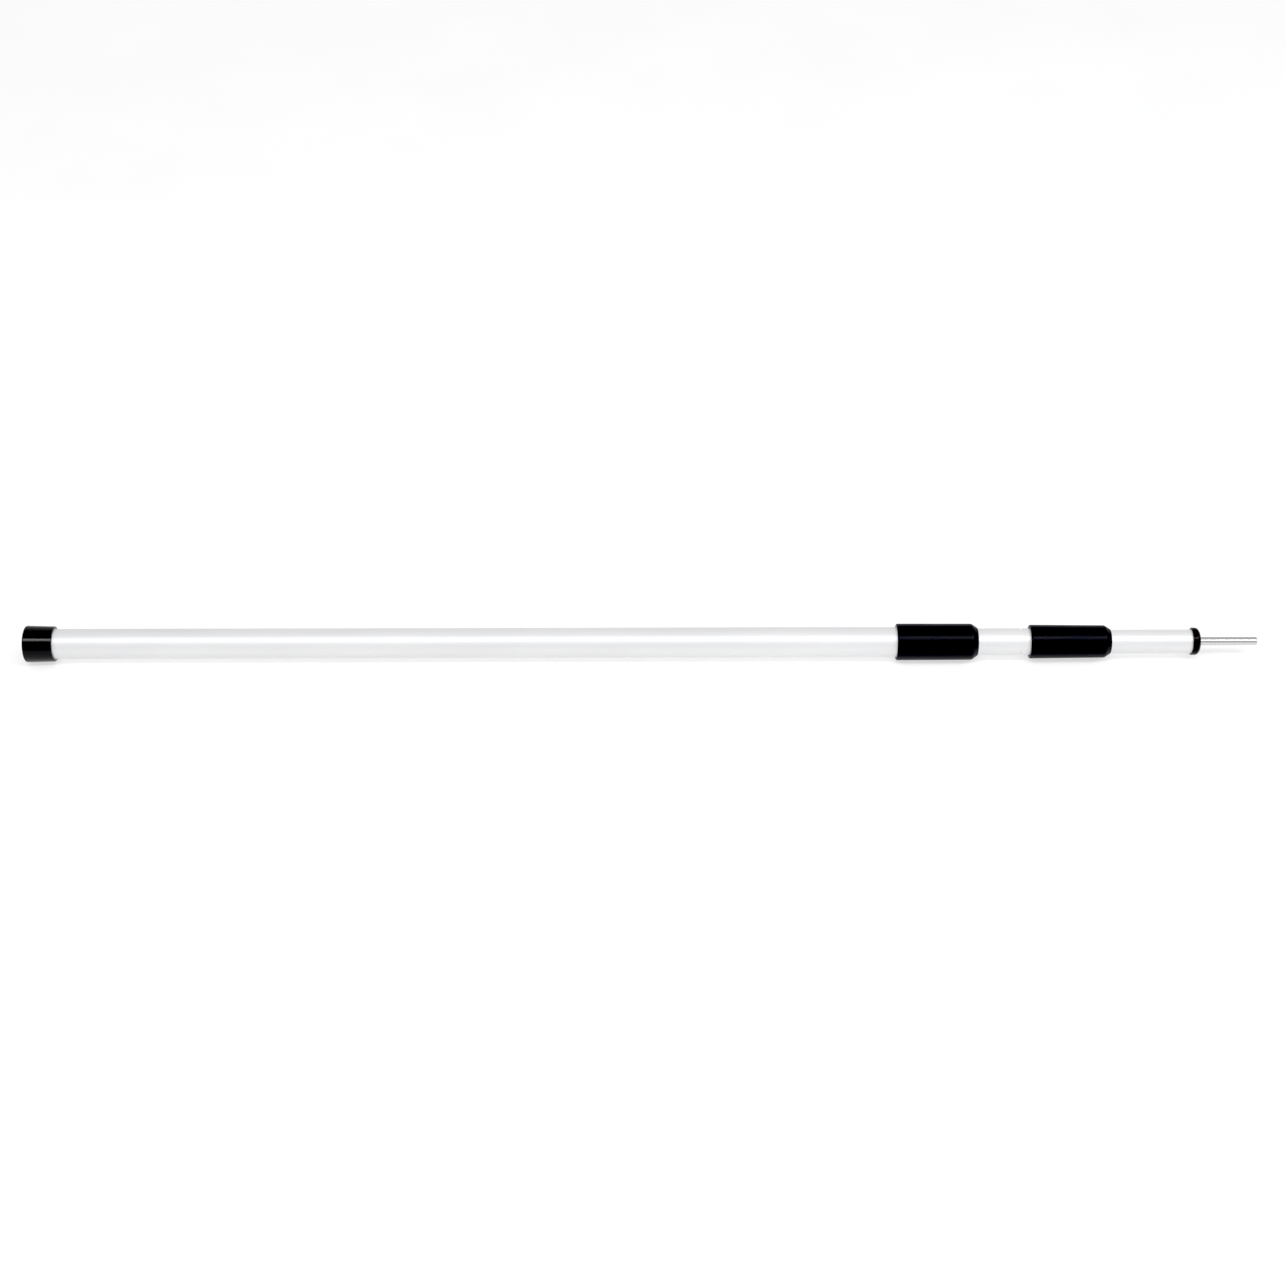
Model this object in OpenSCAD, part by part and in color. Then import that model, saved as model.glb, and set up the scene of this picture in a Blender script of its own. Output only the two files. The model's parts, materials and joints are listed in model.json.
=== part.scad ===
// Three-section telescopic pole with twist-to-lock joints.
//
// The pole lies along X, with the centre of its foot at the origin and its spigot pin
// pointing to +X. It is drawn pushed right in, with both joints unlocked.
//
// Each smaller section slides in the next larger one. A plug in its lower end carries a
// split eccentric ring. The ring turns with the larger tube and not with the plug, so a
// twist of the section throws the ring sideways until it jams in the larger tube.

/* [Tubes] */
// Outside diameter of the outer tube
outer_tube_d = 28; // [28:0.2:31]
// Outside diameter of the middle tube
middle_tube_d = 25; // [24.8:0.1:25.2]
// Outside diameter of the inner tube
inner_tube_d = 22; // [21.6:0.1:22.2]
// Wall thickness of the three tubes
tube_wall = 0.8; // [0.7:0.05:0.9]
// Where the mouth of the outer tube is, from the foot
outer_mouth_x = 873.5; // [700:0.5:1100]
// How far the middle tube's mouth stands out past the outer tube's
middle_reach = 123; // [120:0.1:200]
// How far the inner tube's end stands out past the middle tube's mouth
inner_reach = 82.8; // [40:0.1:200]

/* [Stop grooves] */
// Width of the rolled grooves that stop a section from pulling out
groove_w = 6; // [4:0.5:8]
// From the outer tube's mouth back to its groove
outer_groove_back = 65; // [50:1:70]
// From the middle tube's mouth back to its groove
middle_groove_back = 77.3; // [75:0.1:90]

/* [Foot] */
// Wall of the foot cap at its base
cap_base_wall = 3.05; // [2:0.05:5]
// Wall of the foot cap at its rim
cap_rim_wall = 2.4; // [1.6:0.1:4]
// Length of the foot cap
cap_length = 27; // [15:1:50]
// Thickness of the foot cap's floor
cap_floor = 4; // [3:0.5:8]
// Thickness of the steel disc in the foot cap
foot_washer_t = 1; // [0.8:0.1:2]

/* [Sleeves] */
// Length of the sleeve on the outer tube
outer_sleeve_length = 75; // [72:0.2:110]
// Length of the sleeve on the middle tube
middle_sleeve_length = 74.6; // [60:0.2:76]
// Wall of the outer sleeve at its back end
outer_sleeve_wall = 2.95; // [2.6:0.05:4]
// Wall of the middle sleeve at its back end
middle_sleeve_wall = 3.1; // [2.9:0.05:4]
// How much the wall of the outer sleeve thins towards its nose
outer_sleeve_draft = 0.2; // [0:0.05:0.4]
// How much the wall of the middle sleeve thins towards its nose
middle_sleeve_draft = 0.6; // [0:0.05:0.6]
// Length of a sleeve's tapered nose
nose_length = 6.5; // [5:0.5:9.5]

/* [Twist locks] */
// Radius of the eccentric journal that a cam ring turns on
journal_r = 6.5; // [6:0.1:6.6]
// How far the journal's axis lies off the pole's axis
eccentricity = 0.6; // [0.5:0.05:0.7]
// Gap between an unlocked cam ring and the tube around it
cam_gap = 0.5; // [0.4:0.05:0.5]
// Length of a cam ring
cam_length = 14; // [10:1:20]
// Twist from unlocked to locked
lock_angle = 44; // [30:1:60]
// Length of a lock plug's barrel inside its tube
barrel_length = 24; // [22:1:40]
// Thickness of a lock plug's stop flange
stop_flange_t = 3; // [2:0.5:5]

/* [Tip] */
// Diameter of the end plug's flange
tip_flange_d = 25.4; // [24:0.1:30]
// Thickness of the end plug's flange at its rim
tip_flange_t = 7.7; // [6:0.1:10]
// Height of the dome on the end plug
tip_dome = 0.8; // [0.2:0.1:1.5]
// Length of the end plug's barrel inside the tube
tip_barrel_length = 28; // [20:1:50]
// Diameter of the spigot pin
pin_d = 8; // [6:0.5:10]
// Width of the shoulder where the spigot pin steps down to pass through the plug
pin_shoulder = 0.5; // [0.3:0.1:0.8]
// Length of the spigot pin that stands out
pin_length = 52.2; // [30:0.1:90]

/* [Hidden] */
$fn = 96;

// Fits: a turning or sliding fit, an easy gap, and the play at a part's ends
running = 0.05;
easy_gap = 0.3;
end_play = 0.1;
bottom_gap = 1;

// Outside and bore radii of the tubes
outer_r = outer_tube_d / 2;
middle_r = middle_tube_d / 2;
inner_r = inner_tube_d / 2;
outer_bore_r = outer_r - tube_wall;
middle_bore_r = middle_r - tube_wall;
inner_bore_r = inner_r - tube_wall;

// Twist lock details
cam_screw_r = 1.5;
screw_depth = 12;
screw_head_r = 3.4;
screw_head_h = 2.4;
cam_washer_t = 1.2;
cam_washer_r = journal_r + 2.2;
stop_gap = 0.2;
lug_r = 0.9;
lug_h = 1.5;
lug_reach = journal_r + 2.6;
cam_slit = 1.5;
roll_pin_r = 1.5;
roll_pin_wall = 0.55;
roll_pin_inset = 0.15;
core_r = 5;
core_depth = 8;

// The spigot pin, and its thinner neck inside the plug
pin_r = pin_d / 2;
neck_r = pin_r - pin_shoulder;
neck_stub = 4;

// Length of a lock behind the end of its tube
lock_length = stop_flange_t + cam_length + 2 * end_play + cam_washer_t + screw_head_h;

// Places along the pole, from the foot
outer_start_x = cap_floor + foot_washer_t;
middle_start_x = outer_start_x + bottom_gap + lock_length;
middle_mouth_x = outer_mouth_x + middle_reach;
inner_start_x = middle_start_x + barrel_length + bottom_gap + lock_length;
inner_end_x = middle_mouth_x + inner_reach;
pin_foot_x = inner_end_x + tip_flange_t + tip_dome;

// The sleeve's nose stands this far past its tube's mouth: guide ring, then lip.
// The guide ring's seat is narrower than the tube's, so the tube stops against its shoulder.
guide_length = 4.6;
guide_step = 0.6;
lip_length = 2.9;
nose_past_mouth = guide_length + end_play + lip_length;

// The part of a nose's length that is its rounded shoulder
nose_round = 0.35;

function reversed(points) = [for (i = [len(points) - 1:-1:0]) points[i]];

// An arc from angle a to angle b about a centre, as profile points
function arc(centre_r, centre_x, size_r, size_x, a, b, steps = 10) = [
    for (i = [0:steps])
        let(angle = a + (b - a) * i / steps)
            [centre_r + size_r * cos(angle), centre_x + size_x * sin(angle)]
];

// One line of a tube's wall, dipping smoothly through the stop groove
function groove_line(r, x, depth, steps = 16) = [
    for (i = [0:steps])
        [r - depth * (1 - cos(360 * i / steps)) / 2, x + groove_w * i / steps]
];

// Turns a part that is drawn along Z so that it lies along X, from a place on the pole
module along_x(x = 0) {
    translate([x, 0, 0])
        rotate([0, 90, 0])
            children();
}

// Turns a profile of (radius, place along the pole) points about the pole's axis
module turned(points) {
    along_x()
        rotate_extrude()
            polygon(points);
}

// A tube with a rolled stop groove that leaves room for the next tube
module grooved_tube(r, x0, x1, groove_x, next_r) {
    bore_r = r - tube_wall;
    depth = bore_r - next_r - running;
    turned(concat(
        [[r, x0]],
        groove_line(r, groove_x, depth),
        [[r, x1], [bore_r, x1]],
        reversed(groove_line(bore_r, groove_x, depth)),
        [[bore_r, x0]]
    ));
}

// The two cross holes that a lock plug's roll pins sit in
module pin_holes(x, reach) {
    for (i = [0:1])
        translate([x + barrel_length * (i + 1) / 3, 0, 0])
            rotate([90 * i, 0, 0])
                cylinder(r = roll_pin_r, h = 2 * reach, center = true);
}

// How far a sleeve's nose has come in: a rounded shoulder, then a straight taper
function nose_drop(share) =
    (share < nose_round ? share * share / (2 * nose_round) : share - nose_round / 2)
        / (1 - nose_round / 2);

// A sleeve's nose, which closes on the next tube
function nose_line(front_r, land_r, x1, steps = 20) = [
    for (i = [0:steps])
        let(share = i / steps)
            [front_r - (front_r - land_r) * nose_drop(share), x1 - nose_length * (1 - share)]
];

// Smooth sleeve on the mouth of a tube, with a tapered nose that closes on the next tube
module sleeve(length, tube_r, wall, draft, mouth_x, next_r) {
    x1 = mouth_x + nose_past_mouth;
    x0 = x1 - length;
    back_r = tube_r + wall;
    edge = 1.2;
    lip_r = next_r + easy_gap;
    land_r = lip_r + 0.2;
    seat_x = x1 - lip_length;
    guide_r = tube_r - guide_step;
    turned(concat(
        [[tube_r, x0]],
        arc(back_r - edge, x0 + edge, edge, edge, -90, 0, 8),
        nose_line(back_r - draft, land_r, x1),
        [[lip_r, x1], [lip_r, seat_x], [guide_r, seat_x], [guide_r, mouth_x], [tube_r, mouth_x]]
    ));
}

// Split ring between a tube's mouth and its sleeve's lip, which guides the next tube
module guide_ring(mouth_x, tube_r, next_r) {
    slit = 1;
    along_x(mouth_x + end_play / 2)
        difference() {
            cylinder(r = tube_r - guide_step - running, h = guide_length);
            translate([0, 0, -1])
                cylinder(r = next_r + running, h = guide_length + 2);
            translate([-slit / 2, 0, -1])
                cube([slit, tube_r, guide_length + 2]);
        }
}

// Plug in the lower end of a tube: barrel, stop flange, stop lug and eccentric journal
module lock_plug(x, barrel_r, bore_r) {
    journal_length = cam_length + 2 * end_play;
    flange_x = x - stop_flange_t;
    difference() {
        union() {
            along_x(x)
                cylinder(r = barrel_r, h = barrel_length);
            along_x(flange_x)
                cylinder(r = bore_r - stop_gap, h = stop_flange_t);
            along_x(flange_x - journal_length)
                translate([0, eccentricity, 0])
                    cylinder(r = journal_r, h = journal_length + 1);
            along_x(flange_x - lug_h)
                translate([0, eccentricity - lug_reach, 0])
                    cylinder(r = lug_r, h = lug_h + 1);
        }
        along_x(x + barrel_length - core_depth)
            cylinder(r = core_r, h = core_depth + 1);
        along_x(flange_x - journal_length - 1)
            translate([0, eccentricity, 0])
                cylinder(r = cam_screw_r, h = screw_depth + 1);
        pin_holes(x, bore_r);
    }
}

// Split roll pins across a lock plug, ending just inside the tube's surface
module plug_pins(x, tube_r) {
    length = 2 * (tube_r - roll_pin_inset);
    slit = 0.6;
    for (i = [0:1])
        translate([x + barrel_length * (i + 1) / 3, 0, 0])
            rotate([90 * i, 0, 0])
                difference() {
                    cylinder(r = roll_pin_r, h = length, center = true);
                    cylinder(r = roll_pin_r - roll_pin_wall, h = length + 2, center = true);
                    translate([-slit / 2, 0, -length])
                        cube([slit, 2 * roll_pin_r, 2 * length]);
                }
}

// Split eccentric ring: round with the pole outside, round with the journal inside
module cam_ring(x, bore_r) {
    ring_r = bore_r - cam_gap;
    ring_x = x - stop_flange_t - end_play - cam_length;
    lug_half_angle = asin((lug_r + stop_gap) / lug_reach);
    along_x(ring_x)
        difference() {
            cylinder(r = ring_r, h = cam_length);
            translate([0, eccentricity, 0]) {
                translate([0, 0, -1])
                    cylinder(r = journal_r + running, h = cam_length + 2);
                translate([-cam_slit / 2, 0, -1])
                    cube([cam_slit, bore_r, cam_length + 2]);
                // The arc that the stop lug moves along, from unlocked to locked
                translate([0, 0, cam_length - lug_h - stop_gap])
                    rotate([0, 0, 270 - lug_half_angle])
                        rotate_extrude(angle = lock_angle + 2 * lug_half_angle)
                            translate([lug_reach - lug_r - stop_gap, 0])
                                square([2 * (lug_r + stop_gap), lug_h + 1]);
            }
        }
}

// Where a lock's journal ends, and its washer begins
function journal_end_x(x) = x - stop_flange_t - cam_length - 2 * end_play;

// Washer that keeps a cam ring on its journal
module cam_washer(x) {
    along_x(journal_end_x(x) - cam_washer_t)
        translate([0, eccentricity, 0])
            difference() {
                cylinder(r = cam_washer_r, h = cam_washer_t);
                translate([0, 0, -1])
                    cylinder(r = cam_screw_r + stop_gap, h = cam_washer_t + 2);
            }
}

// Pan-head screw that holds the washer
module cam_screw(x) {
    head_x = journal_end_x(x) - cam_washer_t - screw_head_h;
    recess_w = 0.9;
    recess_l = 3.8;
    recess_depth = 1.4;
    along_x(head_x)
        translate([0, eccentricity, 0])
            difference() {
                union() {
                    rotate_extrude()
                        polygon(concat(
                            [[0, 0]],
                            arc(screw_head_r - 1.2, 1.2, 1.2, 1.2, -90, 0, 6),
                            [[screw_head_r, screw_head_h], [0, screw_head_h]]
                        ));
                    cylinder(r = cam_screw_r, h = screw_head_h + cam_washer_t + screw_depth - 1);
                }
                for (turn = [0, 90])
                    rotate([0, 0, turn])
                        translate([-recess_l / 2, -recess_w / 2, -1])
                            cube([recess_l, recess_w, recess_depth + 1]);
            }
}

module foot_cap() {
    base_r = outer_r + cap_base_wall;
    rim_r = outer_r + cap_rim_wall;
    edge = 1.6;
    lip = 1;
    tread_r = 9.5;
    tread_w = 1.6;
    tread_depth = 0.8;
    color([0.06, 0.06, 0.065])
        turned(concat(
            [[0, 0], [tread_r, 0], [tread_r, tread_depth]],
            [[tread_r + tread_w, tread_depth], [tread_r + tread_w, 0]],
            arc(base_r - edge, edge, edge, edge, -90, 0, 8),
            arc(rim_r - lip, cap_length - lip, lip, lip, 0, 90, 6),
            [[outer_r + 0.4, cap_length], [outer_r, cap_length - 0.6]],
            [[outer_r, cap_floor], [0, cap_floor]]
        ));
}

module foot_washer() {
    color([0.62, 0.63, 0.65])
        along_x(cap_floor)
            cylinder(r = outer_r - stop_gap, h = foot_washer_t);
}

module outer_tube() {
    color([0.85, 0.86, 0.87])
        grooved_tube(outer_r, outer_start_x, outer_mouth_x, outer_mouth_x - outer_groove_back,
            middle_r);
}

module outer_sleeve() {
    color([0.1, 0.1, 0.11])
        sleeve(outer_sleeve_length, outer_r, outer_sleeve_wall, outer_sleeve_draft,
            outer_mouth_x, middle_r);
}

module outer_guide_ring() {
    color([0.9, 0.88, 0.82])
        guide_ring(outer_mouth_x, outer_r, middle_r);
}

module middle_tube() {
    color([0.85, 0.86, 0.87])
        difference() {
            grooved_tube(middle_r, middle_start_x, middle_mouth_x,
                middle_mouth_x - middle_groove_back, inner_r);
            pin_holes(middle_start_x, middle_tube_d);
        }
}

module middle_lock_plug() {
    color([0.16, 0.16, 0.17])
        lock_plug(middle_start_x, middle_bore_r, outer_bore_r);
}

module middle_plug_pins() {
    color([0.5, 0.5, 0.52])
        plug_pins(middle_start_x, middle_r);
}

module middle_cam_ring() {
    color([0.92, 0.9, 0.85])
        cam_ring(middle_start_x, outer_bore_r);
}

module middle_cam_washer() {
    color([0.62, 0.63, 0.65])
        cam_washer(middle_start_x);
}

module middle_cam_screw() {
    color([0.7, 0.7, 0.72])
        cam_screw(middle_start_x);
}

module middle_sleeve() {
    color([0.1, 0.1, 0.11])
        sleeve(middle_sleeve_length, middle_r, middle_sleeve_wall, middle_sleeve_draft,
            middle_mouth_x, inner_r);
}

module middle_guide_ring() {
    color([0.9, 0.88, 0.82])
        guide_ring(middle_mouth_x, middle_r, inner_r);
}

module inner_tube() {
    color([0.85, 0.86, 0.87])
        difference() {
            turned([
                [inner_bore_r, inner_start_x],
                [inner_r, inner_start_x],
                [inner_r, inner_end_x],
                [inner_bore_r, inner_end_x]
            ]);
            pin_holes(inner_start_x, inner_tube_d);
        }
}

module inner_lock_plug() {
    color([0.16, 0.16, 0.17])
        lock_plug(inner_start_x, inner_bore_r, middle_bore_r);
}

module inner_plug_pins() {
    color([0.5, 0.5, 0.52])
        plug_pins(inner_start_x, inner_r);
}

module inner_cam_ring() {
    color([0.92, 0.9, 0.85])
        cam_ring(inner_start_x, middle_bore_r);
}

module inner_cam_washer() {
    color([0.62, 0.63, 0.65])
        cam_washer(inner_start_x);
}

module inner_cam_screw() {
    color([0.7, 0.7, 0.72])
        cam_screw(inner_start_x);
}

// Plug in the top end of the inner tube: chamfered barrel, then a domed flange
module tip_plug() {
    flange_r = tip_flange_d / 2;
    edge = 4.4;
    edge_r = 6;
    lead = 1.2;
    barrel_x = inner_end_x - tip_barrel_length;
    rim_x = inner_end_x + tip_flange_t;
    dome_steps = 6;
    crown_r = flange_r - edge_r;
    color([0.07, 0.07, 0.075])
        turned(concat(
            [[neck_r, barrel_x], [inner_bore_r - lead, barrel_x]],
            [[inner_bore_r, barrel_x + lead], [inner_bore_r, inner_end_x]],
            [[flange_r, inner_end_x]],
            arc(crown_r, rim_x - edge, edge_r, edge, 0, 90, 12),
            [for (i = [1:dome_steps])
                let(r = crown_r + (pin_r - crown_r) * i / dome_steps)
                    [r, rim_x + tip_dome * (1 - pow((r - pin_r) / (crown_r - pin_r), 2))]],
            [[neck_r, pin_foot_x]]
        ));
}

// Steel pin that stands on the plug by its shoulder
module spigot_pin() {
    chamfer = 0.4;
    start_x = inner_end_x - tip_barrel_length - neck_stub;
    end_x = pin_foot_x + pin_length;
    color([0.74, 0.74, 0.75])
        turned([
            [0, start_x],
            [neck_r - chamfer, start_x],
            [neck_r, start_x + chamfer],
            [neck_r, pin_foot_x],
            [pin_r, pin_foot_x],
            [pin_r, end_x - chamfer],
            [pin_r - chamfer, end_x],
            [0, end_x]
        ]);
}

// Push-on star nut that keeps the pin from pulling out through the plug
module pin_push_nut() {
    nut_r = neck_r + 4;
    nut_t = 0.8;
    teeth = 6;
    slot_w = 1.2;
    slot_depth = 1.6;
    color([0.55, 0.56, 0.58])
        along_x(inner_end_x - tip_barrel_length - nut_t)
            difference() {
                cylinder(r = nut_r, h = nut_t);
                translate([0, 0, -1])
                    cylinder(r = neck_r, h = nut_t + 2);
                for (i = [0:teeth - 1])
                    rotate([0, 0, 360 * i / teeth])
                        translate([0, -slot_w / 2, -1])
                            cube([neck_r + slot_depth, slot_w, nut_t + 2]);
            }
}

foot_cap();
foot_washer();
outer_tube();
outer_sleeve();
outer_guide_ring();
middle_tube();
middle_lock_plug();
middle_plug_pins();
middle_cam_ring();
middle_cam_washer();
middle_cam_screw();
middle_sleeve();
middle_guide_ring();
inner_tube();
inner_lock_plug();
inner_plug_pins();
inner_cam_ring();
inner_cam_washer();
inner_cam_screw();
tip_plug();
spigot_pin();
pin_push_nut();
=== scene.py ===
"""Looks for the telescopic pole: turned pieces, procedural materials, floor, lights and camera.

All lengths are in metres, in the part's own frame: +X along the pole from the foot to the pin.
"""
import json
import math

import bmesh
import bpy
from mathutils import Matrix, Vector

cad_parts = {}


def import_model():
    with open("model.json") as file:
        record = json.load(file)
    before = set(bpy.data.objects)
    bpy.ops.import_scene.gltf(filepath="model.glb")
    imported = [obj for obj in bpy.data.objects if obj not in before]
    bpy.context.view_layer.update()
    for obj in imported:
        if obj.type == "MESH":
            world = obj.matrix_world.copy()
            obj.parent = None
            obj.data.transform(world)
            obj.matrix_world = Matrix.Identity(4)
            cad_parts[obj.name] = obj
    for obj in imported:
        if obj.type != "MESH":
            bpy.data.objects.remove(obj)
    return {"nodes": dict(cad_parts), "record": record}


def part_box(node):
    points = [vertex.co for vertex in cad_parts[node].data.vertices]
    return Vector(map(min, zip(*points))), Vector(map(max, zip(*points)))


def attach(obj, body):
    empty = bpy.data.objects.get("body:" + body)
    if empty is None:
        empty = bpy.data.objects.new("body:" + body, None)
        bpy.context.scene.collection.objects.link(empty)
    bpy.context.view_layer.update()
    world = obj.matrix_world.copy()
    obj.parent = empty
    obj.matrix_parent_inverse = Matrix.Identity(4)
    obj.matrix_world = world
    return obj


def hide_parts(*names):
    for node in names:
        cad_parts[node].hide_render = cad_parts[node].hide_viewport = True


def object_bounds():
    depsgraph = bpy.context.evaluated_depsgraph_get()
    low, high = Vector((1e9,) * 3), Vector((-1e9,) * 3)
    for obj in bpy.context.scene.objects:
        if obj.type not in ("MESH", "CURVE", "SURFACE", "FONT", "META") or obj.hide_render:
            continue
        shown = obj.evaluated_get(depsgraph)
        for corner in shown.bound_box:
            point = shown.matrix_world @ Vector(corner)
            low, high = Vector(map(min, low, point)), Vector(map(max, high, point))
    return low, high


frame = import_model()
cad_low, cad_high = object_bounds()
scene = bpy.context.scene

MM = 0.001
SEGMENTS = 160
SLEEVE_SEGMENTS = 240
CAP_SEGMENTS = 200
PIN_SEGMENTS = 96
SHARP = math.radians(32)
ON_AXIS = 1e-6
SAME_POINT = 1e-7


# ---------------------------------------------------------------- profiles and meshes

def ends(node):
    """Where a node starts and stops along the pole."""
    low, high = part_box(node)
    return low.x, high.x


def radius(node):
    """A node's largest distance from the pole's axis."""
    points = (v.co for v in frame["nodes"][node].data.vertices)
    return max(math.hypot(p.y, p.z) for p in points)


def arc(x, r, size_x, size_r, start, stop, steps=8):
    """Points (x, r) of an arc: an angle of 0 points along the pole, 90 points away from its axis."""
    turns = [math.radians(start + (stop - start) * i / steps) for i in range(steps + 1)]
    return [(x + size_x * math.cos(a), r + size_r * math.sin(a)) for a in turns]


def straight(x0, x1, r0, r1, spacing=12 * MM):
    """Points between two places, close enough for a mesh of even quads."""
    steps = max(1, round(abs(x1 - x0) / spacing))
    return [(x0 + (x1 - x0) * i / steps, r0 + (r1 - r0) * i / steps) for i in range(steps + 1)]


def to_object(name, bm):
    """A new object in the scene, from a bmesh that it uses up."""
    mesh = bpy.data.meshes.new(name)
    bm.to_mesh(mesh)
    bm.free()
    obj = bpy.data.objects.new(name, mesh)
    scene.collection.objects.link(obj)
    return obj


def lathe(name, profile, segments=SEGMENTS):
    """An object turned about the pole's axis from points (x, r) round half of the solid's section.

    The last ring is joined to the first, unless both are points on the axis.
    """
    points = [profile[0]]
    for x, r in profile[1:]:
        if math.hypot(x - points[-1][0], r - points[-1][1]) > SAME_POINT:
            points.append((x, r))
    bm = bmesh.new()
    rings = []
    for x, r in points:
        if r < ON_AXIS:
            rings.append([bm.verts.new((x, 0, 0))] * segments)
            continue
        turns = (2 * math.pi * i / segments for i in range(segments))
        rings.append([bm.verts.new((x, r * math.cos(a), r * math.sin(a))) for a in turns])
    capped = points[0][1] < ON_AXIS and points[-1][1] < ON_AXIS
    pairs = list(zip(rings, rings[1:])) + ([] if capped else [(rings[-1], rings[0])])
    for a, b in pairs:
        for i in range(segments):
            j = (i + 1) % segments
            corners = []
            for corner in (a[i], a[j], b[j], b[i]):
                if corner not in corners:
                    corners.append(corner)
            if len(corners) > 2:
                bm.faces.new(corners)
    bmesh.ops.recalc_face_normals(bm, faces=bm.faces)
    return to_object(name, bm)


def finish_piece(obj, body, slot, node):
    """Shades a piece, hangs it on the body it rides on, gives it its material and hides the node it
    stands for.
    """
    obj.data.shade_smooth()
    obj.data.set_sharp_from_angle(angle=SHARP)
    obj.data.materials.clear()
    obj.data.materials.append(MATERIALS[slot])
    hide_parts(node)
    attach(obj, body)


def cut(obj, cutter):
    """Cuts one mesh out of another for good."""
    modifier = obj.modifiers.new("cut", "BOOLEAN")
    modifier.object = cutter
    modifier.operation = "DIFFERENCE"
    modifier.solver = "EXACT"
    graph = bpy.context.evaluated_depsgraph_get()
    mesh = bpy.data.meshes.new_from_object(obj.evaluated_get(graph))
    obj.modifiers.clear()
    obj.data = mesh
    bpy.data.objects.remove(cutter)


# ---------------------------------------------------------------- materials

NOISE_LOW, NOISE_HIGH = 0.3, 0.7


class Shader:
    """A Principled material with short calls for the nodes that feed it."""

    def __init__(self, name):
        self.material = bpy.data.materials.new(name)
        self.material.use_nodes = True
        self.nodes = self.material.node_tree.nodes
        self.links = self.material.node_tree.links
        self.base = self.nodes["Principled BSDF"]
        self.place = self.nodes.new("ShaderNodeTexCoord").outputs["Object"]

    def set(self, **values):
        """Sets the shader's own sockets, with an underscore for each space in their names."""
        for socket, value in values.items():
            self.base.inputs[socket.replace("_", " ")].default_value = value

    def plug(self, source, socket):
        """Feeds one of the shader's sockets."""
        self.links.new(source, self.base.inputs[socket])

    def noise(self, scale, detail=3.0, roughness=0.5):
        """Noise with its own number of features a metre along X, Y and Z."""
        mapping = self.nodes.new("ShaderNodeMapping")
        mapping.inputs["Scale"].default_value = scale
        self.links.new(self.place, mapping.inputs["Vector"])
        texture = self.nodes.new("ShaderNodeTexNoise")
        texture.inputs["Scale"].default_value = 1.0
        texture.inputs["Detail"].default_value = detail
        texture.inputs["Roughness"].default_value = roughness
        self.links.new(mapping.outputs["Vector"], texture.inputs["Vector"])
        return texture.outputs["Fac"]

    def ramp(self, source, low, high, start=0.0, stop=1.0):
        """Turns a value from start to stop into one from low to high."""
        node = self.nodes.new("ShaderNodeMapRange")
        node.inputs["From Min"].default_value = start
        node.inputs["From Max"].default_value = stop
        node.inputs["To Min"].default_value = low
        node.inputs["To Max"].default_value = high
        self.links.new(source, node.inputs["Value"])
        return node.outputs["Result"]

    def spread(self, noise, low, high):
        """Spreads a noise, which is mostly near its middle, from low to high."""
        return self.ramp(noise, low, high, NOISE_LOW, NOISE_HIGH)

    def colour(self, source, low, high, start=NOISE_LOW, stop=NOISE_HIGH):
        """Colours the surface between two colours, as a value goes from start to stop."""
        node = self.nodes.new("ShaderNodeValToRGB")
        for element, place, colour in zip(node.color_ramp.elements, (start, stop), (low, high)):
            element.position = place
            element.color = (*colour, 1)
        self.links.new(source, node.inputs["Fac"])
        self.plug(node.outputs["Color"], "Base Color")

    def sum(self, first, second, operation="ADD"):
        """Adds two values, or joins them by another operation. Either may be a number."""
        node = self.nodes.new("ShaderNodeMath")
        node.operation = operation
        for socket, source in zip(node.inputs, (first, second)):
            if isinstance(source, (int, float)):
                socket.default_value = source
            else:
                self.links.new(source, socket)
        return node.outputs["Value"]

    def bump(self, source, strength, distance):
        """Adds relief, on top of any that is there already."""
        node = self.nodes.new("ShaderNodeBump")
        node.inputs["Strength"].default_value = strength
        node.inputs["Distance"].default_value = distance
        self.links.new(source, node.inputs["Height"])
        if self.base.inputs["Normal"].is_linked:
            self.links.new(self.base.inputs["Normal"].links[0].from_socket, node.inputs["Normal"])
        self.links.new(node.outputs["Normal"], self.base.inputs["Normal"])


def tube_material():
    """Satin anodised aluminium tube: drawing lines along X, faint clouding and hairline scratches."""
    s = Shader("tube_aluminium")
    s.set(Metallic=0.38, Specular_IOR_Level=0.25)
    lines = s.noise((3, 2600, 2600), detail=4, roughness=0.6)
    cloud = s.noise((9, 60, 60), detail=2)
    shade = s.sum(s.ramp(lines, -0.012, 0.012), s.spread(cloud, NOISE_LOW, NOISE_HIGH))
    s.colour(shade, (0.745, 0.745, 0.748), (0.785, 0.785, 0.785))
    hairs = s.ramp(s.noise((14, 900, 900), detail=6, roughness=0.75), 0, 1, start=0.62, stop=0.8)
    polish = s.sum(hairs, -0.1, "MULTIPLY")
    s.plug(s.sum(s.spread(lines, 0.42, 0.50), polish), "Roughness")
    s.bump(lines, strength=0.10, distance=0.05 * MM)
    s.bump(hairs, strength=-0.08, distance=0.04 * MM)
    return s.material


def sleeve_material():
    """Satin black moulded plastic: fine grain, with smudges and rubbed streaks in its sheen."""
    s = Shader("sleeve_black")
    s.set(Specular_IOR_Level=0.24)
    smudge = s.noise((40, 70, 70), detail=3)
    s.colour(smudge, (0.0035, 0.0035, 0.0055), (0.006, 0.006, 0.0095), start=0.35)
    rubbed = s.noise((14, 700, 700), detail=5, roughness=0.7)
    streaks = s.ramp(rubbed, -0.03, 0.05, start=0.3, stop=0.75)
    s.plug(s.sum(s.spread(smudge, 0.38, 0.47), streaks), "Roughness")
    s.bump(s.noise((1900, 1900, 1900), detail=2), strength=0.12, distance=0.06 * MM)
    return s.material


SCUFF_REACH = 6 * MM


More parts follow.
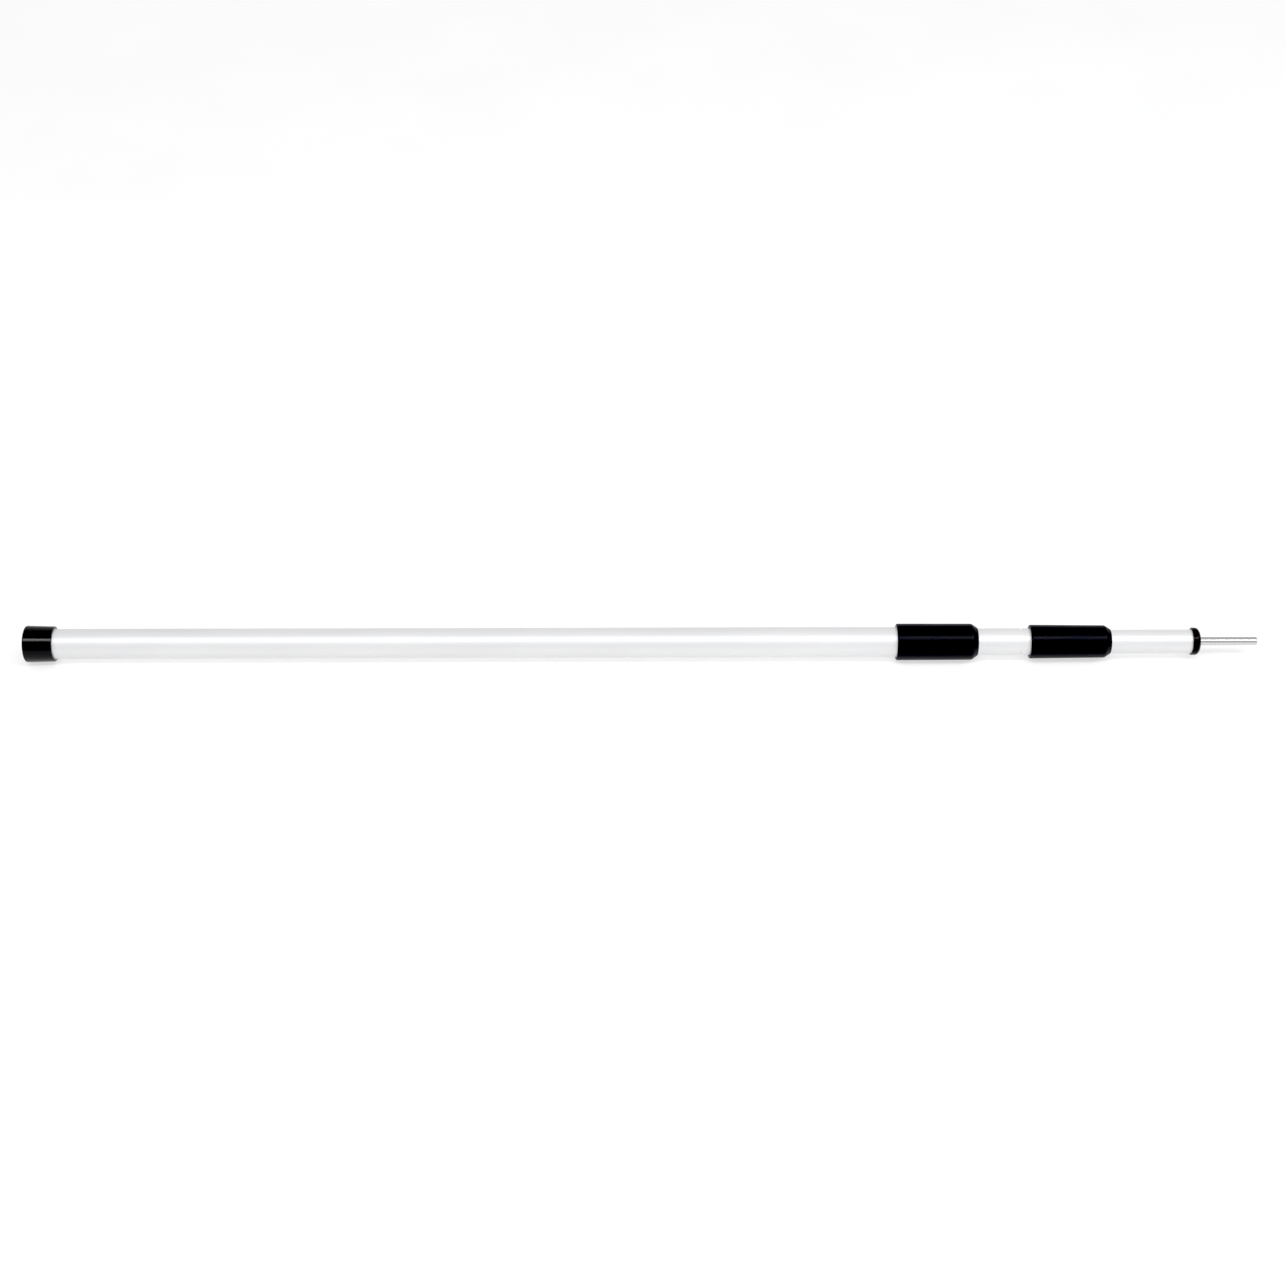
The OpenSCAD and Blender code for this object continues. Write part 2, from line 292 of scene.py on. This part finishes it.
def cap_material():
    """Glossy black cap with faint scuffs, heavier on the edge that meets the ground."""
    s = Shader("cap_black")
    s.set(Specular_IOR_Level=0.42)
    scuff = s.ramp(s.noise((260, 420, 420), detail=6, roughness=0.7), 0, 1, start=0.6, stop=0.78)
    split = s.nodes.new("ShaderNodeSeparateXYZ")
    s.links.new(s.place, split.inputs["Vector"])
    near_ground = s.ramp(split.outputs["X"], 1.0, 0.12, start=0.0, stop=SCUFF_REACH)
    wear = s.sum(scuff, near_ground, "MULTIPLY")
    s.colour(wear, (0.0035, 0.0035, 0.004), (0.03, 0.03, 0.031), start=0.0, stop=1.0)
    sheen = s.spread(s.noise((60, 90, 90), detail=3), 0.16, 0.23)
    s.plug(s.sum(sheen, s.sum(wear, 0.3, "MULTIPLY")), "Roughness")
    s.bump(s.noise((300, 300, 300), detail=2), strength=0.05, distance=0.1 * MM)
    s.bump(wear, strength=-0.1, distance=0.05 * MM)
    return s.material


def moulded_material(name, low, high, smooth, rough, specular, mottle_scale):
    """Plain moulded plastic, faintly mottled and finely grained."""
    s = Shader(name)
    s.set(Specular_IOR_Level=specular)
    mottle = s.noise((mottle_scale, mottle_scale, mottle_scale), detail=4)
    s.colour(mottle, low, high)
    s.plug(s.spread(mottle, smooth, rough), "Roughness")
    s.bump(s.noise((1500, 1500, 1500), detail=2), strength=0.1, distance=0.06 * MM)
    return s.material


def plug_material():
    """Black end plug, a little warmer and glossier than the sleeves."""
    return moulded_material("plug_black", (0.006, 0.0035, 0.004), (0.010, 0.007, 0.008),
                            smooth=0.24, rough=0.36, specular=0.22, mottle_scale=160)


def nylon_material(name, low, high, rough=0.45):
    """Plastic of the inner pieces, between two colours and about as rough as asked."""
    return moulded_material(name, low, high, smooth=rough - 0.07, rough=rough + 0.07,
                            specular=0.45, mottle_scale=220)


def steel_material(name, low, high, rough, scale):
    """Steel between two greys, with a grain of its own size along and across the pole."""
    s = Shader(name)
    s.set(Metallic=1.0)
    lines = s.noise(scale, detail=4, roughness=0.6)
    s.colour(lines, low, high)
    s.plug(s.spread(lines, rough * 0.8, rough * 1.3), "Roughness")
    s.bump(lines, strength=0.12, distance=0.04 * MM)
    return s.material


def floor_material():
    """Matt, almost white paper, which glows so that it stays white beside the bright tubes."""
    s = Shader("floor_paper")
    s.set(Specular_IOR_Level=0.1, Roughness=0.9)
    s.set(Emission_Color=(1, 1, 1, 1), Emission_Strength=0.60)
    s.colour(s.noise((6, 6, 6), detail=3), (0.44, 0.44, 0.44), (0.46, 0.46, 0.46))
    return s.material


MATERIALS = {
    "tube_aluminium": tube_material(),
    "sleeve_black": sleeve_material(),
    "cap_black": cap_material(),
    "plug_black": plug_material(),
    "pin_steel": steel_material("pin_steel", (0.56, 0.56, 0.57), (0.7, 0.7, 0.7),
                                rough=0.16, scale=(900, 250, 250)),
    "zinc_steel": steel_material("zinc_steel", (0.5, 0.52, 0.55), (0.68, 0.69, 0.71),
                                 rough=0.3, scale=(700, 300, 300)),
    "spring_steel": steel_material("spring_steel", (0.2, 0.2, 0.22), (0.34, 0.34, 0.36),
                                   rough=0.35, scale=(900, 900, 900)),
    "guide_nylon": nylon_material("guide_nylon", (0.74, 0.71, 0.62), (0.8, 0.78, 0.69)),
    "lock_plastic": nylon_material("lock_plastic", (0.03, 0.03, 0.033), (0.045, 0.045, 0.05)),
    "cam_acetal": nylon_material("cam_acetal", (0.78, 0.76, 0.7), (0.84, 0.82, 0.77), rough=0.35),
}


# ---------------------------------------------------------------- tubes

WALL = 0.8 * MM
TUBE_EDGE = 0.25 * MM
GROOVE_W = 6 * MM
GROOVE_DEPTH = 0.65 * MM
GROOVE_LIP = 0.10 * MM
OUTER_GROOVE_BACK = 65 * MM
MIDDLE_GROOVE_BACK = 77.3 * MM
BARREL = 24 * MM
ROLL_PIN_R = 1.5 * MM
ROLL_PIN_SEGMENTS = 32


def groove(x, r, depth, lip, steps=28):
    """A rolled groove from x on: the wall dips smoothly, and swells a little on each side."""
    line = []
    for i in range(steps + 1):
        share = i / steps
        dip = depth * (1 - math.cos(2 * math.pi * share)) / 2
        swell = lip * max(0.0, math.sin(3 * math.pi * share)) * (0 if 1 / 3 < share < 2 / 3 else 1)
        line.append((x + GROOVE_W * share, r - dip + swell))
    return line


def tube_end(x, r, start, stop):
    """The rounded outer edge of a tube's end."""
    return arc(x, r - TUBE_EDGE, TUBE_EDGE, TUBE_EDGE, start, stop, 4)


def tube(name, node, body, groove_x=None, pinned=False):
    """A thin tube with rounded ends, and a rolled groove and pin holes where they are asked for."""
    x0, x1 = ends(node)
    edge0, edge1 = x0 + TUBE_EDGE, x1 - TUBE_EDGE
    r = radius(node)
    bore = r - WALL
    outside = straight(edge0, edge1, r, r)
    inside = straight(x1, x0, bore, bore)
    if groove_x:
        groove_end = groove_x + GROOVE_W
        outside = (straight(edge0, groove_x, r, r)
                   + groove(groove_x, r, GROOVE_DEPTH, GROOVE_LIP)
                   + straight(groove_end, edge1, r, r))
        inside = (straight(x1, groove_end, bore, bore)
                  + groove(groove_x, bore, GROOVE_DEPTH, 0)[::-1]
                  + straight(groove_x, x0, bore, bore))
    mid_wall = (r + bore) / 2
    profile = ([(x0, mid_wall)] + tube_end(edge0, r, 180, 90)
               + outside + tube_end(edge1, r, 90, 0)
               + [(x1, mid_wall)] + inside)
    obj = lathe(name, profile)
    if pinned:
        drill_pin_holes(obj, x0, r)
    finish_piece(obj, body, "tube_aluminium", node)


def drill_pin_holes(obj, x0, r):
    """Two holes right through a tube's lower end, square to each other, for its plug's roll pins."""
    drills = bmesh.new()
    for share, turn in ((1 / 3, Matrix.Identity(4)), (2 / 3, Matrix.Rotation(math.pi / 2, 4, "X"))):
        place = Matrix.Translation(Vector((x0 + BARREL * share, 0, 0))) @ turn
        bmesh.ops.create_cone(drills, cap_ends=True, segments=ROLL_PIN_SEGMENTS,
                              radius1=ROLL_PIN_R, radius2=ROLL_PIN_R, depth=3 * r, matrix=place)
    cut(obj, to_object("drills", drills))


outer_mouth = ends("outer_tube")[1]
middle_mouth = ends("middle_tube")[1]
tube("outer_tube_shell", "outer_tube", "outer_section",
     groove_x=outer_mouth - OUTER_GROOVE_BACK)
tube("middle_tube_shell", "middle_tube", "middle_section",
     groove_x=middle_mouth - MIDDLE_GROOVE_BACK, pinned=True)
tube("inner_tube_shell", "inner_tube", "inner_section", pinned=True)


# ---------------------------------------------------------------- sleeves

BACK_EDGE = 1.2 * MM
BACK_CHAMFER = 0.4 * MM
OUTER_DRAFT = 0.2 * MM
MIDDLE_DRAFT = 0.6 * MM
SLEEVE_SPACING = 1.5 * MM
NOSE = 6.5 * MM
NOSE_ROUND = 0.35
LIP_GAP = 0.3 * MM
LIP_LAND = 0.2 * MM
LIP_LENGTH = 2.9 * MM
GUIDE_STEP = 0.6 * MM


def nose(x1, front, land, steps=40):
    """The sleeve's nose: a rounded shoulder, then a straight taper that closes on the next tube."""
    line = []
    for i in range(steps + 1):
        share = i / steps
        fall = share - NOSE_ROUND / 2
        if share < NOSE_ROUND:
            fall = share * share / (2 * NOSE_ROUND)
        drop = (front - land) * fall / (1 - NOSE_ROUND / 2)
        line.append((x1 - NOSE * (1 - share), front - drop))
    return line


def sleeve(name, node, tube_node, next_node, draft):
    """Smooth sleeve: rounded back edge, slight taper, and a nose that closes on the next tube."""
    x0, x1 = ends(node)
    back = radius(node)
    front = back - draft
    seat = radius(tube_node)
    guide = seat - GUIDE_STEP
    mouth = ends(tube_node)[1]
    lip = radius(next_node) + LIP_GAP
    land_r = LIP_LAND / 2
    profile = (arc(x0 + BACK_EDGE, back - BACK_EDGE, BACK_EDGE, BACK_EDGE, 180, 90, 10)
               + straight(x0 + BACK_EDGE, x1 - NOSE, back, front, SLEEVE_SPACING)
               + nose(x1, front, lip + LIP_LAND)
               + arc(x1 - land_r, lip + land_r, land_r, land_r, 0, -90, 4)
               + [(x1 - LIP_LENGTH, lip), (x1 - LIP_LENGTH, guide), (mouth, guide), (mouth, seat),
                  (x0 + BACK_CHAMFER, seat), (x0, seat + BACK_CHAMFER)])
    return lathe(name, profile, SLEEVE_SEGMENTS)


CAMERA_ELEVATION = math.radians(40)
TO_CAMERA = Vector((0, -math.cos(CAMERA_ELEVATION), math.sin(CAMERA_ELEVATION)))
GATE_R = 1.15 * MM
GATE_FLARE = 1.15
GATE_DEPTH = 0.22 * MM
GATE_FROM_BACK = 9.5 * MM
GATE_SEGMENTS = 40


def gate_mark(obj, x, r, facing):
    """A moulding gate: a shallow round well in the surface."""
    well = bmesh.new()
    bmesh.ops.create_cone(well, cap_ends=True, segments=GATE_SEGMENTS, radius1=GATE_R,
                          radius2=GATE_R * GATE_FLARE, depth=2 * GATE_DEPTH)
    cutter = to_object("gate_cutter", well)
    turn = Vector((0, 0, 1)).rotation_difference(facing).to_matrix().to_4x4()
    cutter.matrix_world = Matrix.Translation(Vector((x, 0, 0)) + facing * r) @ turn
    bpy.context.view_layer.update()
    cut(obj, cutter)


def sleeves():
    """Both sleeves, with a moulding gate on the side of the smaller one that the photo shows."""
    outer = sleeve("outer_sleeve_shell", "outer_sleeve", "outer_tube", "middle_tube", OUTER_DRAFT)
    middle = sleeve("middle_sleeve_shell", "middle_sleeve", "middle_tube", "inner_tube", MIDDLE_DRAFT)
    gate_x = ends("middle_sleeve")[0] + GATE_FROM_BACK
    gate_mark(middle, gate_x, radius("middle_sleeve"), TO_CAMERA)
    finish_piece(outer, "outer_section", "sleeve_black", "outer_sleeve")
    finish_piece(middle, "middle_section", "sleeve_black", "middle_sleeve")


sleeves()


# ---------------------------------------------------------------- foot cap

CAP_TAPER = 0.65 * MM
CAP_EDGE = 1.6 * MM
CAP_LIP = 1.0 * MM
CAP_INNER_LIP = 0.5 * MM
CAP_SPACING = 2 * MM
WASHER_T = 1 * MM
TREAD_RADII = (12.6 * MM, 9.6 * MM, 6.6 * MM)
TREAD_W = 1.5 * MM
TREAD_DEPTH = 0.8 * MM
TREAD_SOFT = 0.2 * MM


def tread(x0, outer):
    """A shallow ring groove in the cap's base, with softened edges, from its outer radius inwards."""
    inner = outer - TREAD_W
    return [(x0, outer + TREAD_SOFT), (x0 + TREAD_SOFT, outer),
            (x0 + TREAD_DEPTH, outer - TREAD_SOFT), (x0 + TREAD_DEPTH, inner + TREAD_SOFT),
            (x0 + TREAD_SOFT, inner), (x0, inner - TREAD_SOFT)]


def foot_cap():
    """Slip-over cap: grooved base, rounded ground edge, slight taper and a rounded rim."""
    x0, x1 = ends("foot_cap")
    base = radius("foot_cap")
    rim = base - CAP_TAPER
    tube_r = radius("outer_tube")
    floor_x = ends("outer_tube")[0] - WASHER_T
    treads = [point for outer in TREAD_RADII for point in tread(x0, outer)]
    profile = ([(x0, 0)] + treads[::-1]
               + arc(x0 + CAP_EDGE, base - CAP_EDGE, CAP_EDGE, CAP_EDGE, 180, 90, 12)
               + straight(x0 + CAP_EDGE, x1 - CAP_LIP, base, rim, CAP_SPACING)
               + arc(x1 - CAP_LIP, rim - CAP_LIP, CAP_LIP, CAP_LIP, 90, 0, 10)
               + arc(x1 - CAP_INNER_LIP, tube_r + CAP_INNER_LIP, CAP_INNER_LIP, CAP_INNER_LIP, 0, -90, 4)
               + [(floor_x, tube_r), (floor_x, 0)])
    shell = lathe("foot_cap_shell", profile, CAP_SEGMENTS)
    finish_piece(shell, "outer_section", "cap_black", "foot_cap")


foot_cap()


# ---------------------------------------------------------------- tip plug and pin

PLUG_EDGE_X = 4.4 * MM
PLUG_EDGE_R = 6.0 * MM
PLUG_DOME = 0.8 * MM
PLUG_DOME_STEPS = 10
PLUG_BACK_EDGE = 0.35 * MM
PLUG_LEAD = 1.2 * MM
PIN_NECK_STEP = 0.5 * MM
PIN_EDGE = 0.4 * MM
PIN_SHOULDER_EDGE = 0.15 * MM
PIN_SPACING = 6 * MM


def plug_dome(rim, crown):
    """The plug's slightly domed face, from its crown to the pin."""
    pin_r = radius("spigot_pin")
    line = []
    for i in range(1, PLUG_DOME_STEPS + 1):
        share = i / PLUG_DOME_STEPS
        rise = PLUG_DOME * math.sin(math.pi / 2 * i / PLUG_DOME_STEPS)
        line.append((rim + rise, crown + (pin_r - crown) * share))
    return line


def tip_plug():
    """Plug in the tube's end, with a flange whose front edge is broadly rounded."""
    x0, x1 = ends("tip_plug")
    flange = radius("tip_plug")
    bore = radius("inner_tube") - WALL
    back = ends("inner_tube")[1]
    neck = radius("spigot_pin") - PIN_NECK_STEP
    crown = flange - PLUG_EDGE_R
    rim = x1 - PLUG_DOME
    edge = PLUG_BACK_EDGE
    profile = ([(x0, neck), (x0, bore - PLUG_LEAD), (x0 + PLUG_LEAD, bore), (back, bore)]
               + arc(back + edge, flange - edge, edge, edge, 180, 90, 5)
               + arc(rim - PLUG_EDGE_X, crown, PLUG_EDGE_X, PLUG_EDGE_R, 90, 0, 24)
               + plug_dome(rim, crown) + [(x1, neck)])
    finish_piece(lathe("tip_plug_shell", profile), "inner_section", "plug_black", "tip_plug")


def spigot_pin():
    """Plain steel pin, with a thinner neck inside the plug and rounded ends."""
    x0, x1 = ends("spigot_pin")
    shoulder = ends("tip_plug")[1]
    r = radius("spigot_pin")
    neck = r - PIN_NECK_STEP
    edge = PIN_SHOULDER_EDGE
    profile = ([(x0, 0), (x0, neck - PIN_EDGE), (x0 + PIN_EDGE, neck), (shoulder, neck)]
               + arc(shoulder + edge, r - edge, edge, edge, 180, 90, 3)
               + straight(shoulder + edge, x1 - PIN_EDGE, r, r, PIN_SPACING)
               + arc(x1 - PIN_EDGE, r - PIN_EDGE, PIN_EDGE, PIN_EDGE, 90, 0, 6) + [(x1, 0)])
    rod = lathe("spigot_pin_rod", profile, PIN_SEGMENTS)
    finish_piece(rod, "inner_section", "pin_steel", "spigot_pin")


tip_plug()
spigot_pin()


# ---------------------------------------------------------------- pieces kept as they are

slot_of = {row["node"]: row["material_slot"] for row in frame["record"]["subparts"]}
for node, obj in frame["nodes"].items():
    obj.data.materials.clear()
    obj.data.materials.append(MATERIALS[slot_of[node]])


# ---------------------------------------------------------------- floor, lights and camera

centre = (cad_low + cad_high) / 2

FLOOR_SIZE = 40.0
FLOOR_GAP = 0.05 * MM
LIGHT_COLOUR = (0.96, 0.97, 1)
WORLD_STRENGTH = 0.69
STRIP_ELEVATION = math.radians(66)
STRIP_SIDE = Vector((0, -math.cos(STRIP_ELEVATION), math.sin(STRIP_ELEVATION)))
TIP_SIDE = Vector((0.67, -0.19, 0.72)).normalized()


def floor():
    """A wide plane just under the pole."""
    bpy.ops.mesh.primitive_plane_add(size=FLOOR_SIZE, location=(centre.x, 0, cad_low.z - FLOOR_GAP))
    obj = bpy.context.object
    obj.name = "floor"
    obj.data.materials.append(floor_material())


def area_light(name, power, length, width, side, distance, target):
    """A soft light that faces its target from one side, with its length level."""
    data = bpy.data.lights.new(name, "AREA")
    data.shape = "RECTANGLE"
    data.size = length
    data.size_y = width
    data.energy = power
    data.color = LIGHT_COLOUR
    obj = bpy.data.objects.new(name, data)
    scene.collection.objects.link(obj)
    obj.location = target + side * distance
    obj.rotation_mode = "QUATERNION"
    obj.rotation_quaternion = side.to_track_quat("Z", "Y")


def lights():
    """A long strip above and in front of the pole, and a small light past its tip."""
    middle = Vector((centre.x, 0, 0))
    shoulders = Vector((ends("outer_sleeve")[1], 0, 0))
    area_light("strip", power=13.5, length=2.6, width=0.24,
               side=STRIP_SIDE, distance=1.5, target=middle)
    area_light("tip_light", power=8, length=0.35, width=0.35,
               side=TIP_SIDE, distance=2.0, target=shoulders)


def world():
    """Even white light from all round."""
    studio = bpy.data.worlds.new("studio")
    studio.use_nodes = True
    background = studio.node_tree.nodes["Background"]
    background.inputs["Color"].default_value = (1, 1, 1, 1)
    background.inputs["Strength"].default_value = WORLD_STRENGTH
    scene.world = studio


FOCAL_RATIO = 1.673
POLE_SHARE = 0.957
AIM_PAST_CENTRE = 1.15 * MM
CAMERA_ROLL = math.radians(0.136)
SENSOR_WIDTH = 36
CLIP_END = 50


def camera():
    """Square on to the pole, from in front and above, with the whole pole across the frame."""
    data = bpy.data.cameras.new("camera")
    data.sensor_width = SENSOR_WIDTH
    data.lens = SENSOR_WIDTH * FOCAL_RATIO
    data.clip_end = CLIP_END
    distance = FOCAL_RATIO * (cad_high.x - cad_low.x) / POLE_SHARE
    obj = bpy.data.objects.new("camera", data)
    scene.collection.objects.link(obj)
    obj.location = Vector((centre.x + AIM_PAST_CENTRE, 0, 0)) + TO_CAMERA * distance
    right = Vector((1, 0, 0))
    up = TO_CAMERA.cross(right)
    turn = Matrix((right, up, TO_CAMERA)).transposed().to_quaternion()
    obj.rotation_mode = "QUATERNION"
    obj.rotation_quaternion = turn @ Matrix.Rotation(-CAMERA_ROLL, 3, "Z").to_quaternion()
    scene.camera = obj


BLACK_LEVEL = 0.036


def view():
    """Plain colours, with the blacks a little deeper, as in the photo."""
    settings = scene.view_settings
    settings.view_transform = "Standard"
    settings.look = "None"
    settings.use_curve_mapping = True
    settings.curve_mapping.black_level = (BLACK_LEVEL, BLACK_LEVEL, BLACK_LEVEL)
    settings.curve_mapping.update()


floor()
world()
lights()
camera()
view()
